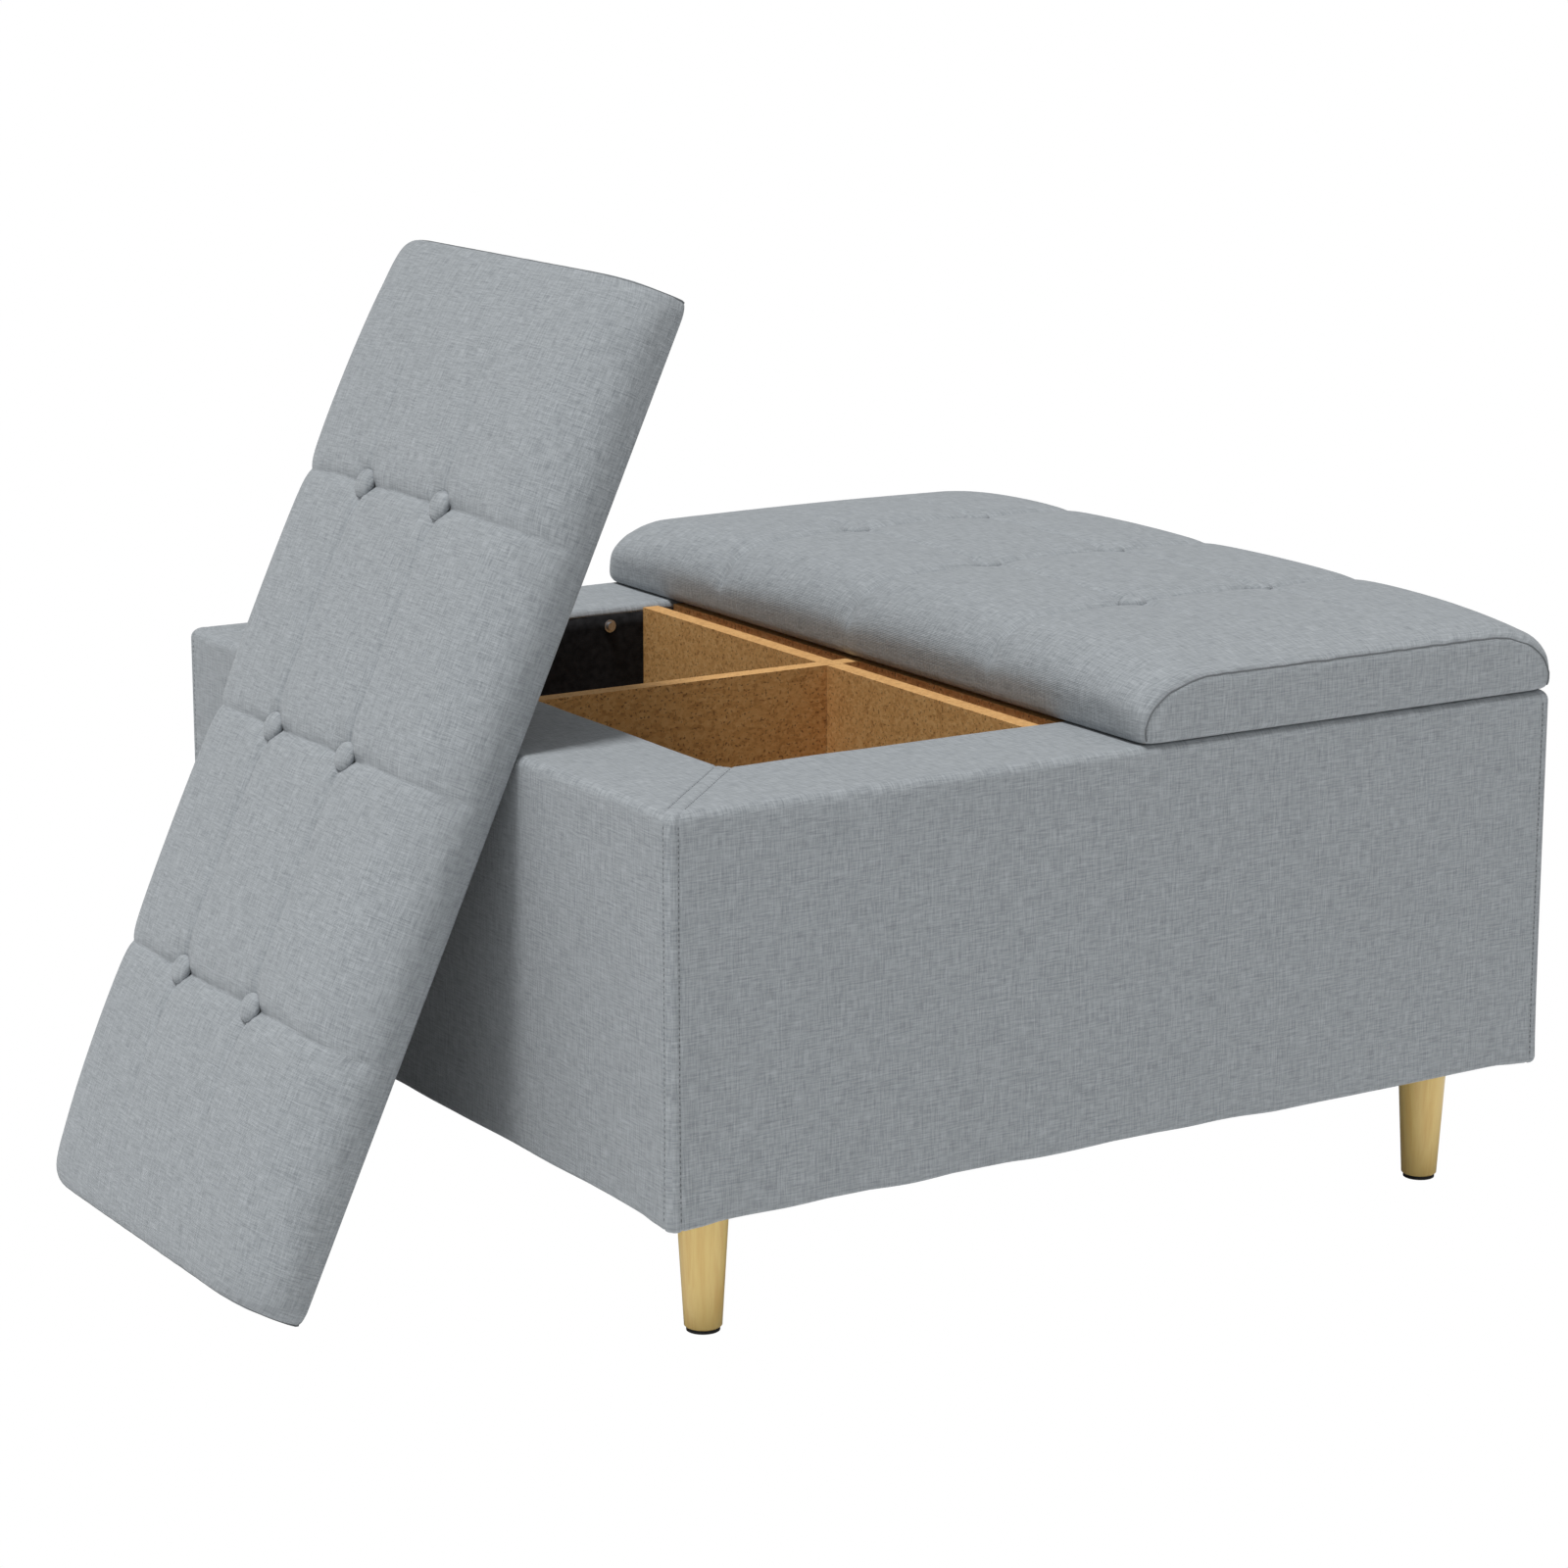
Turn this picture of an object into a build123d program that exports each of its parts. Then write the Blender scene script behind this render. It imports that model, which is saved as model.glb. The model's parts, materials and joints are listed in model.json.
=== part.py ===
from build123d import *
import math
import os

# Square storage ottoman: an upholstered box on four turned legs, divided into four
# compartments, closed by two loose tufted lids. One lid lies on the right half of the
# box, the other stands on the floor and leans against the box's left top edge.
# Millimetres. +X along the front, +Y to the back, +Z up. The pieces are made round the
# middle of the box, at floor level, and then shifted along X so that the origin is the
# middle of the underside of everything, leaning lid included.

# ---- driving dimensions: the box ----
BOX_SIDE = 800.0          # outside, over the fabric
WALL_HEIGHT = 300.0       # hem to rim
LEG_HEIGHT = 105.0        # floor to hem
RIM_WIDTH = 110.0         # the broad padded ledge round the opening
BOARD = 12.0              # wall panels and rails
BASE_BOARD = 15.0
DIVIDER_BOARD = 15.0
DIVIDER_GAP = 15.5        # between the two long dividers
DIVIDER_DROP = 3.0        # divider tops below the rim
LAP_CLEARANCE = 0.3       # each side of a cross-lap slot
FABRIC = 1.0
LINING = 1.0
WALL_FOAM = 5.0
RIM_FOAM = 11.0
BOX_EDGE_RADIUS = 8.0     # upright and rim edges, over the fabric
HEM_FLAP = 25.0           # cover turned under the base
INNER_LIP = 6.0           # cover turned down into the opening
DUST_COVER = 1.0

# ---- driving dimensions: legs and their fixings ----
LEG_INSET = 64.0          # leg axis in from both faces
LEG_TOP_DIAMETER = 40.0
LEG_FOOT_DIAMETER = 28.0
FOOT_PAD = 3.0
FOOT_PAD_DIAMETER = 25.0
BOLT_DIAMETER = 8.0
BOLT_IN_LEG = 32.0
BLOCK_HEIGHT = 30.0
T_NUT_BARREL_DIAMETER = 11.0
T_NUT_BARREL = 14.0
T_NUT_FLANGE_DIAMETER = 24.0
T_NUT_FLANGE = 1.6
FIT_CLEARANCE = 0.15      # radial, round a bolt, barrel or screw

# ---- driving dimensions: screws ----
SCREW_DIAMETER = 4.0
SCREW_HEAD_DIAMETER = 8.0
SCREW_LENGTH = 40.0
SCREW_OFFSETS = (-300.0, -100.0, 100.0, 300.0)
LINING_SCREW_DIAMETER = 3.5
LINING_SCREW_LENGTH = 16.0
LINING_SCREW_HEAD = 2.4
LINING_SCREW_OFFSETS = (-230.0, -56.0, 56.0, 230.0)
LINING_SCREW_DROP = 16.0  # below the rim
WASHER_DIAMETER = 11.0
WASHER = 1.2

# ---- driving dimensions: the lids ----
LID_WIDTH = 396.0
LID_LENGTH = 800.0
LID_SIDE_HEIGHT = 50.0    # at the seam of the end panels
LID_CROWN = 61.0          # at the middle of the pad
LID_TOP_RADIUS = 27.0     # rolled long sides
LID_EDGE_RADIUS = 6.0     # round the underside
LID_END_RADIUS = 5.0      # seam edge of the end panels
LID_PLAN_RADIUS = 16.0
LID_BOARD = 12.0
LID_GAP = 0.3             # between a lid and the box
CLOTH = 0.8
CLOTH_RECESS = 0.2
BUTTON_DIAMETER = 23.0
BUTTON_HEIGHT = 8.0
BUTTON_EDGE = 3.0
BUTTON_SEAT = 47.0        # height of a button's seat in its dimple
DIMPLE_RADIUS = 13.0
BUTTON_PITCH_LONG = LID_LENGTH / 4
BUTTON_PITCH_WIDE = 125.0
TWINE_DIAMETER = 2.0
TOGGLE_DIAMETER = 20.0
TOGGLE = 2.0
LEAN_ANGLE = 65.5         # leaning lid's length above the floor, degrees
LEAN_OFFSET = 15.0        # its middle behind the middle of the box

# ---- derived levels ----
HALF = BOX_SIDE / 2
RIM_TOP = LEG_HEIGHT + WALL_HEIGHT
OPENING = HALF - RIM_WIDTH                  # half width of the cavity, bare panels
CORE = HALF - FABRIC - WALL_FOAM            # outer face of the wall panels
FOAM_FACE = HALF - FABRIC
DUST_BOTTOM = LEG_HEIGHT + FABRIC
BASE_BOTTOM = DUST_BOTTOM + DUST_COVER
BASE_TOP = BASE_BOTTOM + BASE_BOARD
RAIL_TOP = RIM_TOP - FABRIC - RIM_FOAM
RAIL_BOTTOM = RAIL_TOP - BOARD
LEG_AXIS = HALF - LEG_INSET
DIVIDER_BOTTOM = BASE_TOP + LINING
DIVIDER_TOP = RIM_TOP - DIVIDER_DROP
DIVIDER_HALF_LENGTH = OPENING - LINING
SEATED_LID_X = HALF - LID_WIDTH / 2
CORNERS = {
    "front_left": (-1, -1),
    "front_right": (1, -1),
    "back_left": (-1, 1),
    "back_right": (1, 1),
}
SIDE_TURNS = {"front": 0, "right": 90, "back": 180, "left": 270}
BOTTOM_CENTRE = (Align.CENTER, Align.CENTER, Align.MIN)


def slab(x0, x1, y0, y1, z0, z1):
    """A box between two corners."""
    middle = Pos((x0 + x1) / 2, (y0 + y1) / 2, z0)
    return middle * Box(x1 - x0, y1 - y0, z1 - z0, align=BOTTOM_CENTRE)


def block(half_x, half_y, z0, z1):
    """A box centred on the Z axis."""
    return slab(-half_x, half_x, -half_y, half_y, z0, z1)


def rod(x, y, z0, z1, diameter):
    """An upright cylinder."""
    return Pos(x, y, z0) * Cylinder(diameter / 2, z1 - z0, align=BOTTOM_CENTRE)


def joined(solids):
    """Several solids as one shape, kept separate where they don't touch."""
    return Compound(children=list(solids))


def at_each_side(front_piece):
    """A piece of the front wall and its copies on the other three walls, by wall name."""
    return {side: Rot(0, 0, turn) * front_piece for side, turn in SIDE_TURNS.items()}


# ---- box: boards ----
def mitred(z0, z1, reach):
    """The quarter of a square block, out to reach, that belongs to the front wall."""
    outline = Polyline((0, 0), (-reach, -reach), (reach, -reach), close=True)
    return Pos(0, 0, z0) * extrude(make_face(outline), z1 - z0)


def base_board():
    board = block(CORE, CORE, BASE_BOTTOM, BASE_TOP)
    for sx, sy in CORNERS.values():
        hole = BOLT_DIAMETER + 2 * FIT_CLEARANCE
        board -= rod(sx * LEG_AXIS, sy * LEG_AXIS, BASE_BOTTOM, BASE_TOP, hole)
    return board


def outer_panel():
    """Front outer panel, between the side panels' mitres."""
    panel = slab(-CORE, CORE, -CORE, -CORE + BOARD, BASE_TOP, RAIL_BOTTOM)
    return panel & mitred(BASE_TOP, RAIL_BOTTOM, HALF)


def inner_panel():
    """Front panel of the cavity, between the side panels' mitres."""
    back, front = -OPENING, -OPENING - BOARD
    panel = slab(front, -front, front, back, BASE_TOP, RAIL_BOTTOM)
    return (panel & mitred(BASE_TOP, RAIL_BOTTOM, HALF)) - lining_screw_holes()


def top_rail():
    """Front rail that joins the outer and the inner panel under the rim."""
    rail = slab(-CORE, CORE, -CORE, -OPENING, RAIL_BOTTOM, RAIL_TOP)
    return (rail & mitred(RAIL_BOTTOM, RAIL_TOP, HALF)) - panel_screw_holes() - lining_screw_holes()


def corner_block(sx, sy):
    """Wood block in the hollow of the wall that takes the leg's T-nut."""
    near, far = OPENING + BOARD, CORE - BOARD
    x0, x1 = sorted((sx * near, sx * far))
    y0, y1 = sorted((sy * near, sy * far))
    top = BASE_TOP + BLOCK_HEIGHT
    x, y = sx * LEG_AXIS, sy * LEG_AXIS
    body = slab(x0, x1, y0, y1, BASE_TOP, top)
    body -= rod(x, y, BASE_TOP, top, BOLT_DIAMETER + 2 * FIT_CLEARANCE)
    return body - rod(x, y, top - T_NUT_BARREL, top, T_NUT_BARREL_DIAMETER + 2 * FIT_CLEARANCE)


def long_divider(x_middle):
    """Board from front to back, slotted from above where the cross divider passes."""
    half = DIVIDER_BOARD / 2
    middle_height = (DIVIDER_BOTTOM + DIVIDER_TOP) / 2
    reach = DIVIDER_HALF_LENGTH
    board = slab(x_middle - half, x_middle + half, -reach, reach, DIVIDER_BOTTOM, DIVIDER_TOP)
    slot = half + LAP_CLEARANCE
    return board - slab(x_middle - half, x_middle + half, -slot, slot, middle_height, DIVIDER_TOP)


def cross_divider(long_positions):
    """Board from left to right, slotted from below where it straddles the long dividers."""
    half = DIVIDER_BOARD / 2
    middle_height = (DIVIDER_BOTTOM + DIVIDER_TOP) / 2
    reach = DIVIDER_HALF_LENGTH
    board = slab(-reach, reach, -half, half, DIVIDER_BOTTOM, DIVIDER_TOP)
    slot = half + LAP_CLEARANCE
    for x in long_positions:
        board -= slab(x - slot, x + slot, -half, half, DIVIDER_BOTTOM, middle_height)
    return board


# ---- box: soft layers ----
def rounded_block(half, z0, z1, radius):
    """Square block with rounded uprights and a rounded top edge."""
    body = block(half, half, z0, z1)
    body = fillet(body.edges().filter_by(Axis.Z), radius)
    return fillet(body.edges().group_by(Axis.Z)[-1], radius)


def foam_envelope():
    return rounded_block(FOAM_FACE, DUST_BOTTOM, RIM_TOP - FABRIC, BOX_EDGE_RADIUS - FABRIC)


def wall_foam():
    """Front sheet of foam over the outer panel and the edges of the base and the rail."""
    envelope = foam_envelope() - block(CORE, CORE, DUST_BOTTOM, RIM_TOP)
    return envelope & mitred(DUST_BOTTOM, RAIL_TOP, BOX_SIDE)


def rim_foam():
    """Front pad of the ledge, mitred into its neighbours."""
    envelope = foam_envelope() - block(OPENING, OPENING, DUST_BOTTOM, RIM_TOP)
    return envelope & mitred(RAIL_TOP, RIM_TOP, BOX_SIDE)


def box_cover():
    """One sewn cover: four walls, the rim, a lip down into the opening and a hem flap."""
    skin = rounded_block(HALF, LEG_HEIGHT, RIM_TOP, BOX_EDGE_RADIUS) - foam_envelope()
    lip_half = OPENING - LINING
    skin -= block(lip_half, lip_half, DUST_BOTTOM, RIM_TOP)
    skin -= block(HALF - HEM_FLAP, HALF - HEM_FLAP, LEG_HEIGHT, DUST_BOTTOM)
    lip = block(OPENING, OPENING, RIM_TOP - INNER_LIP, RIM_TOP - FABRIC)
    return skin + (lip - block(lip_half, lip_half, RIM_TOP - INNER_LIP, RIM_TOP))


def cavity_lining():
    """Black cloth on the floor and the four walls of the cavity."""
    inside = OPENING - LINING
    top = RIM_TOP - INNER_LIP
    tray = block(OPENING, OPENING, BASE_TOP, top)
    tray -= block(inside, inside, BASE_TOP + LINING, top)
    return tray - joined(at_each_side(lining_screw_holes()).values())


def dust_cover():
    """Black cloth under the base, pierced by the leg bolts."""
    sheet = block(CORE, CORE, DUST_BOTTOM, BASE_BOTTOM)
    for sx, sy in CORNERS.values():
        hole = BOLT_DIAMETER + 2 * FIT_CLEARANCE
        sheet -= rod(sx * LEG_AXIS, sy * LEG_AXIS, DUST_BOTTOM, BASE_BOTTOM, hole)
    return sheet


# ---- legs and fixings ----
def leg(sx, sy):
    """Turned tapered leg with a pilot hole for the hanger bolt."""
    height = DUST_BOTTOM - FOOT_PAD
    body = Cone(LEG_FOOT_DIAMETER / 2, LEG_TOP_DIAMETER / 2, height, align=BOTTOM_CENTRE)
    pilot = BOLT_DIAMETER + 2 * FIT_CLEARANCE
    body -= rod(0, 0, height - BOLT_IN_LEG, height, pilot)
    return Pos(sx * LEG_AXIS, sy * LEG_AXIS, FOOT_PAD) * chamfer(body.edges().group_by(Axis.Z)[0], 1.0)


def foot_pads():
    pads = [rod(sx * LEG_AXIS, sy * LEG_AXIS, 0, FOOT_PAD, FOOT_PAD_DIAMETER) for sx, sy in CORNERS.values()]
    return joined(pads)


def hanger_bolts():
    bottom = DUST_BOTTOM - BOLT_IN_LEG + 1
    top = BASE_TOP + BLOCK_HEIGHT
    bolts = [rod(sx * LEG_AXIS, sy * LEG_AXIS, bottom, top, BOLT_DIAMETER) for sx, sy in CORNERS.values()]
    return joined(bolts)


def t_nuts():
    top = BASE_TOP + BLOCK_HEIGHT
    bore = BOLT_DIAMETER + 2 * FIT_CLEARANCE
    nuts = []
    for sx, sy in CORNERS.values():
        x, y = sx * LEG_AXIS, sy * LEG_AXIS
        nut = rod(x, y, top - T_NUT_BARREL, top, T_NUT_BARREL_DIAMETER)
        nut += rod(x, y, top, top + T_NUT_FLANGE, T_NUT_FLANGE_DIAMETER)
        nuts.append(nut - rod(x, y, top - T_NUT_BARREL, top + T_NUT_FLANGE, bore))
    return joined(nuts)


def panel_screw_places():
    """Where the front rail is screwed down into its outer and inner panels."""
    rows = (-CORE + BOARD / 2, -OPENING - BOARD / 2)
    return [(x, y) for y in rows for x in SCREW_OFFSETS if abs(x) < abs(y)]


def panel_screw(x, y, slack):
    """Countersunk screw, or with slack the hole that it fills."""
    shank = SCREW_DIAMETER / 2 + slack
    head = SCREW_HEAD_DIAMETER / 2 + slack
    body = rod(x, y, RAIL_TOP - SCREW_LENGTH, RAIL_TOP, 2 * shank)
    cone = Cone(shank, head, head - shank, align=(Align.CENTER, Align.CENTER, Align.MAX))
    return body + Pos(x, y, RAIL_TOP) * cone


def panel_screw_holes():
    return joined(panel_screw(x, y, FIT_CLEARANCE) for x, y in panel_screw_places())


def panel_screws():
    front = joined(panel_screw(x, y, 0) for x, y in panel_screw_places())
    return joined(s for wall in at_each_side(front).values() for s in wall.solids())


def facing_in(x, start, end, diameter):
    """A cylinder along Y at the height of the lining screws, on the front wall."""
    length = end - start
    along = Pos(x, start, RIM_TOP - LINING_SCREW_DROP) * Rot(-90, 0, 0)
    return along * Cylinder(diameter / 2, length, align=BOTTOM_CENTRE)


def lining_screw_holes():
    """Pilot holes of the front wall, through the lining and into the rail."""
    inside = -OPENING + LINING
    diameter = LINING_SCREW_DIAMETER + 2 * FIT_CLEARANCE
    depth = LINING_SCREW_LENGTH + 1
    return joined(facing_in(x, inside - depth, inside, diameter) for x in LINING_SCREW_OFFSETS)


def lining_screws():
    """Pan-head screws that clamp the lining and the cover's lip to the rail."""
    seat = -OPENING + LINING + WASHER
    screws = []
    for x in LINING_SCREW_OFFSETS:
        shank = facing_in(x, seat - LINING_SCREW_LENGTH, seat, LINING_SCREW_DIAMETER)
        screws.append(shank + facing_in(x, seat, seat + LINING_SCREW_HEAD, 2 * LINING_SCREW_DIAMETER))
    return joined(s for wall in at_each_side(joined(screws)).values() for s in wall.solids())


def lining_washers():
    inside = -OPENING + LINING
    bore = LINING_SCREW_DIAMETER + 2 * FIT_CLEARANCE
    washers = [
        facing_in(x, inside, inside + WASHER, WASHER_DIAMETER) - facing_in(x, inside, inside + WASHER, bore)
        for x in LINING_SCREW_OFFSETS
    ]
    return joined(s for wall in at_each_side(joined(washers)).values() for s in wall.solids())


# ---- lids: each is built lying down, its length along Y, its underside at z = 0 ----
def lid_section(inset):
    """Cross-section in XZ: flat underside, rolled sides, gently crowned top."""
    half = LID_WIDTH / 2 - inset
    bottom_radius = LID_EDGE_RADIUS - inset
    top_radius = LID_TOP_RADIUS - inset
    shoulder = LID_SIDE_HEIGHT - inset
    lean = top_radius * math.sin(math.radians(45))
    with BuildSketch(Plane.XZ) as sketch:
        with BuildLine():
            Line((-half + bottom_radius, inset), (half - bottom_radius, inset))
            RadiusArc((half - bottom_radius, inset), (half, inset + bottom_radius), -bottom_radius)
            Line((half, inset + bottom_radius), (half, shoulder - top_radius))
            knee = (half - top_radius + lean, shoulder - top_radius + lean)
            ThreePointArc((half, shoulder - top_radius), knee, (half - top_radius, shoulder))
            crown = (0, LID_CROWN - inset)
            ThreePointArc((half - top_radius, shoulder), crown, (-half + top_radius, shoulder))
            left_knee = (-knee[0], knee[1])
            ThreePointArc((-half + top_radius, shoulder), left_knee, (-half, shoulder - top_radius))
            Line((-half, shoulder - top_radius), (-half, inset + bottom_radius))
            RadiusArc((-half, inset + bottom_radius), (-half + bottom_radius, inset), -bottom_radius)
        make_face()
    return sketch.sketch


def lid_body(inset):
    """The lid's outer shape, or with an inset the space inside its cover."""
    half_length = LID_LENGTH / 2 - inset
    half_width = LID_WIDTH / 2 - inset
    height = LID_CROWN - inset
    across = extrude(lid_section(inset), LID_LENGTH / 2, both=True)
    side = slab(-half_width, half_width, -half_length, half_length, inset, height)
    edges = side.edges().filter_by(Axis.X)
    side = fillet(edges.group_by(Axis.Z)[0], LID_EDGE_RADIUS - inset)
    side = fillet(side.edges().filter_by(Axis.X).group_by(Axis.Z)[-1], LID_END_RADIUS)
    plan = block(half_width, half_length, inset, height)
    plan = fillet(plan.edges().filter_by(Axis.Z), LID_PLAN_RADIUS - inset)
    return across & side & plan


def button_places():
    half_wide = BUTTON_PITCH_WIDE / 2
    rows = (-BUTTON_PITCH_LONG, 0.0, BUTTON_PITCH_LONG)
    return [(x, y) for y in rows for x in (-half_wide, half_wide)]


def lid_dimples(radius, floor):
    return joined(rod(x, y, floor, LID_CROWN + 1, 2 * radius) for x, y in button_places())


def lid_twine_holes(z0, z1):
    bore = TWINE_DIAMETER + 4 * FIT_CLEARANCE
    return joined(rod(x, y, z0, z1, bore) for x, y in button_places())


def lid_board():
    """Stiff board, counterbored below for the toggles that hold the twine."""
    board = lid_body(FABRIC) & block(HALF, HALF, 0, FABRIC + LID_BOARD)
    recess = TOGGLE + 1.0
    for x, y in button_places():
        board -= rod(x, y, FABRIC, FABRIC + recess, TOGGLE_DIAMETER + 2)
    return board - lid_twine_holes(FABRIC, FABRIC + LID_BOARD)


def lid_pad():
    """Foam on the board, cut for the buttons' dimples."""
    pad = lid_body(FABRIC) - block(HALF, HALF, 0, FABRIC + LID_BOARD)
    pad -= lid_dimples(DIMPLE_RADIUS + FABRIC, BUTTON_SEAT - FABRIC)
    return pad - lid_twine_holes(LID_BOARD, BUTTON_SEAT)


def lid_cover():
    """Sewn fabric cover, dimpled for the buttons and turned under all round."""
    outside = lid_body(0) - lid_dimples(DIMPLE_RADIUS, BUTTON_SEAT)
    inside = lid_body(FABRIC) - lid_dimples(DIMPLE_RADIUS + FABRIC, BUTTON_SEAT - FABRIC)
    half_width = LID_WIDTH / 2 - HEM_FLAP
    half_length = LID_LENGTH / 2 - HEM_FLAP
    skin = outside - inside - block(half_width, half_length, 0, FABRIC)
    return skin - lid_twine_holes(BUTTON_SEAT - FABRIC, BUTTON_SEAT)


def lid_cloth():
    """Black cloth that closes the underside."""
    return block(LID_WIDTH / 2 - HEM_FLAP, LID_LENGTH / 2 - HEM_FLAP, CLOTH_RECESS, CLOTH_RECESS + CLOTH)


def lid_button():
    """Covered button: a domed top on a short straight edge."""
    rise = BUTTON_HEIGHT - BUTTON_EDGE
    dome_radius = ((BUTTON_DIAMETER / 2) ** 2 + rise**2) / (2 * rise)
    dome = Pos(0, 0, BUTTON_HEIGHT - dome_radius) * Sphere(dome_radius)
    return rod(0, 0, 0, BUTTON_HEIGHT, BUTTON_DIAMETER) & dome


def lid_buttons():
    button = lid_button()
    return joined(Pos(x, y, BUTTON_SEAT) * button for x, y in button_places())


def lid_twines():
    """Twine from each button down to its toggle."""
    bottom = FABRIC + TOGGLE + 0.4
    return joined(rod(x, y, bottom, BUTTON_SEAT, TWINE_DIAMETER) for x, y in button_places())


def lid_toggles():
    """Discs in the board's counterbores that anchor the twine."""
    bottom = FABRIC + 0.4
    return joined(rod(x, y, bottom, bottom + TOGGLE, TOGGLE_DIAMETER) for x, y in button_places())


def lid_pieces():
    return {
        "board": lid_board(),
        "pad": lid_pad(),
        "cover": lid_cover(),
        "underside_cloth": lid_cloth(),
        "buttons": lid_buttons(),
        "twines": lid_twines(),
        "toggles": lid_toggles(),
    }


# ---- where the lids stand ----
def seated_place():
    return Pos(SEATED_LID_X, 0, RIM_TOP + LID_GAP)


def leaning_foot():
    """Centre of the rounded lower edge that the leaning lid stands on, in X and Z."""
    angle = math.radians(LEAN_ANGLE)
    sine, cosine = math.sin(angle), math.cos(angle)
    to_middle = LID_LENGTH / 2 - LID_EDGE_RADIUS
    middle_z = LID_EDGE_RADIUS + to_middle * sine - LID_EDGE_RADIUS * cosine
    edge_x, edge_z = -HALF + BOX_EDGE_RADIUS, RIM_TOP - BOX_EDGE_RADIUS
    reach = BOX_EDGE_RADIUS + LID_GAP
    middle_x = edge_x - (reach + (edge_z - middle_z) * cosine) / sine
    foot_x = middle_x - to_middle * cosine - LID_EDGE_RADIUS * sine
    return foot_x, LID_EDGE_RADIUS


def leaning_place():
    """From a lid lying down to the leaning lid: its front end goes down to the floor."""
    foot_x, foot_z = leaning_foot()
    turned = Rot(0, 0, -90)
    pivot_to_origin = Pos(LID_LENGTH / 2 - LID_EDGE_RADIUS, 0, -LID_EDGE_RADIUS)
    return Pos(foot_x, LEAN_OFFSET, foot_z) * Rot(0, -LEAN_ANGLE, 0) * pivot_to_origin * turned


def whole_middle_x():
    """Middle of the whole width, from the leaning lid's foremost rounded edge to the box."""
    angle = math.radians(LEAN_ANGLE)
    foot_x, _ = leaning_foot()
    along = LID_EDGE_RADIUS - LID_END_RADIUS
    up = LID_CROWN - LID_EDGE_RADIUS - LID_END_RADIUS
    leftmost = foot_x - math.cos(angle) * along - math.sin(angle) * up - LID_END_RADIUS
    return (leftmost + HALF) / 2


def box_pieces():
    long_positions = [side * (DIVIDER_GAP + DIVIDER_BOARD) / 2 for side in (-1, 1)]
    pieces = {
        "base_board": base_board(),
        "long_divider_left": long_divider(long_positions[0]),
        "long_divider_right": long_divider(long_positions[1]),
        "cross_divider": cross_divider(long_positions),
        "box_cover": box_cover(),
        "cavity_lining": cavity_lining(),
        "dust_cover": dust_cover(),
        "foot_pads": foot_pads(),
        "hanger_bolts": hanger_bolts(),
        "t_nuts": t_nuts(),
        "panel_screws": panel_screws(),
        "lining_screws": lining_screws(),
        "lining_washers": lining_washers(),
    }
    wall_layers = {
        "outer_panel": outer_panel() - panel_screw_holes(),
        "inner_panel": inner_panel() - panel_screw_holes(),
        "top_rail": top_rail(),
        "wall_foam": wall_foam(),
        "rim_foam": rim_foam(),
    }
    for layer, front_piece in wall_layers.items():
        for side, piece in at_each_side(front_piece).items():
            pieces[f"{side}_{layer}"] = piece
    for corner, (sx, sy) in CORNERS.items():
        pieces[f"{corner}_leg"] = leg(sx, sy)
        pieces[f"{corner}_block"] = corner_block(sx, sy)
    return pieces


def main():
    pieces = box_pieces()
    for name, piece in lid_pieces().items():
        pieces[f"seated_lid_{name}"] = seated_place() * piece
        pieces[f"leaning_lid_{name}"] = leaning_place() * piece
    os.makedirs("parts", exist_ok=True)
    shift = -whole_middle_x()
    for name, piece in pieces.items():
        export_step(Pos(shift, 0, 0) * piece, f"parts/{name}.step")
    print("the box's middle is at x =", shift)
    print("the leaning lid pivots at x =", leaning_foot()[0] + shift)
    print(len(pieces), "nodes")


main()
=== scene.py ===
import json
import math

import bpy
import numpy as np
from mathutils import Matrix, Vector, noise


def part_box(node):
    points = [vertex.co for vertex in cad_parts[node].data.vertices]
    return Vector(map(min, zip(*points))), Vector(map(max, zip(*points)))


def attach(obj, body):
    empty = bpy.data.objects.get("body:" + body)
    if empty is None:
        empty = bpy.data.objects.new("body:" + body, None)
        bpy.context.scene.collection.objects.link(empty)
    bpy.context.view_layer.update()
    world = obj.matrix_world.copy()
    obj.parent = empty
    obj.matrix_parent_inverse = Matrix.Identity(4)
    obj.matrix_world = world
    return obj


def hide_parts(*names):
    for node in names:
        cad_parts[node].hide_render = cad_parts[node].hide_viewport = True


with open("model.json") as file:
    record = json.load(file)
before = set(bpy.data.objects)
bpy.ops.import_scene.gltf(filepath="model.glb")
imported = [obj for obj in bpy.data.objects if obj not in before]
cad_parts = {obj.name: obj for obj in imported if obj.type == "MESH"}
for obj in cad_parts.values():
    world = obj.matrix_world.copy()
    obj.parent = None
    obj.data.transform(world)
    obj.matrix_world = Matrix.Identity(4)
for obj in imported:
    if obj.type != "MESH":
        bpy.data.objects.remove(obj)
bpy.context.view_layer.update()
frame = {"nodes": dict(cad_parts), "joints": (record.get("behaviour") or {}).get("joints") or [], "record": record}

# Storage ottoman: looks of the upholstered box, its two tufted lids, the boards inside and
# the legs. Shapes are worked out in millimetres and turned into metres when a mesh is made.
MM = 0.001
JOINTS = {joint["name"]: joint for joint in frame["joints"]}


def node_box(name):
    """Lowest and highest corner of a CAD node, in millimetres."""
    low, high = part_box(name)
    return low / MM, high / MM


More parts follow.
